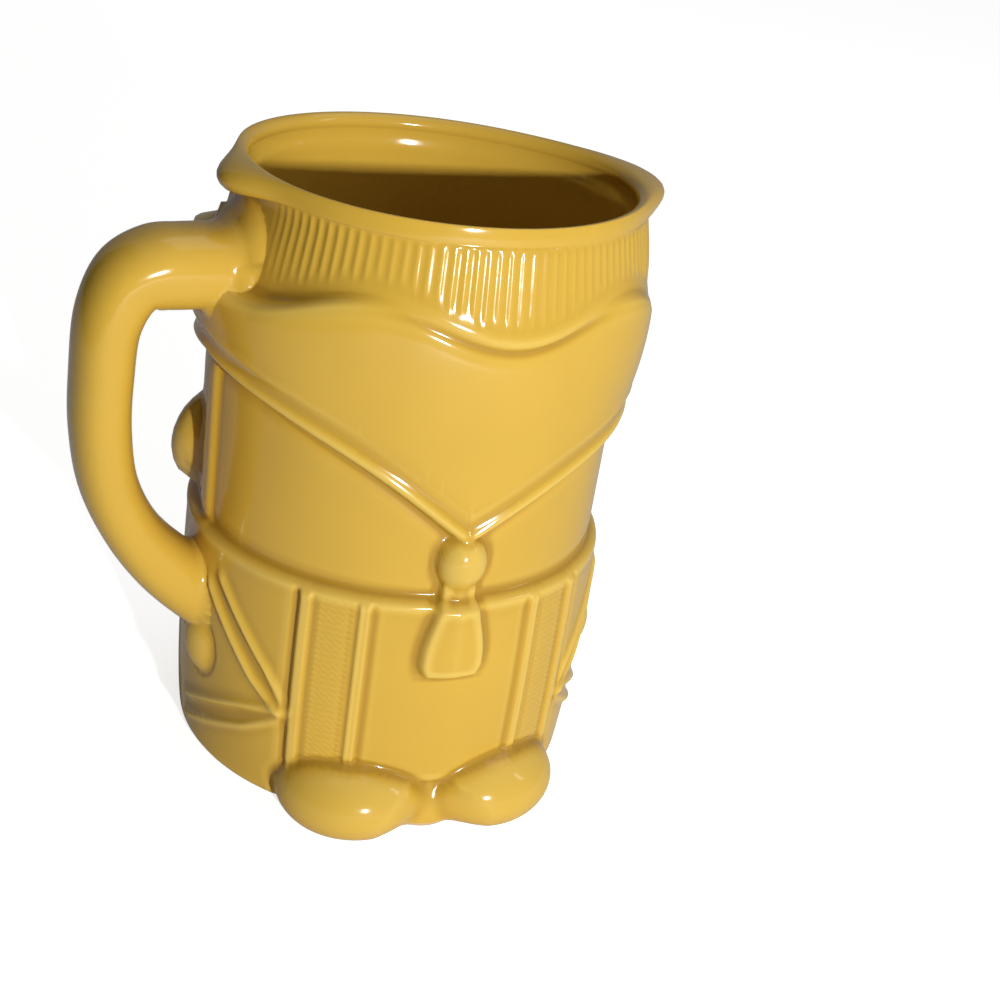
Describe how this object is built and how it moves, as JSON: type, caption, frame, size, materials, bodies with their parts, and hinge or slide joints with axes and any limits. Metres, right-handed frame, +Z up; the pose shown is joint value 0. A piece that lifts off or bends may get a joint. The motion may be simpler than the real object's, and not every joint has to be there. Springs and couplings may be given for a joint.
{
  "type": "ceramic pitcher",
  "caption": "Round glazed ceramic pitcher with a loop handle, a small spout and a robed figure in relief.",
  "frame": {"origin": "middle of the flat underside that the pitcher stands on", "axes": "+Z up, +X towards the spout, -X towards the handle, the robed figure on the -Y side"},
  "size_m": [0.1999, 0.1662, 0.21],
  "materials": {
    "glaze": "glossy ochre glaze over cast stoneware, bare clay underneath"
  },
  "bodies": {
    "root": {"pitcher": "glaze"}
  },
  "joints": []
}
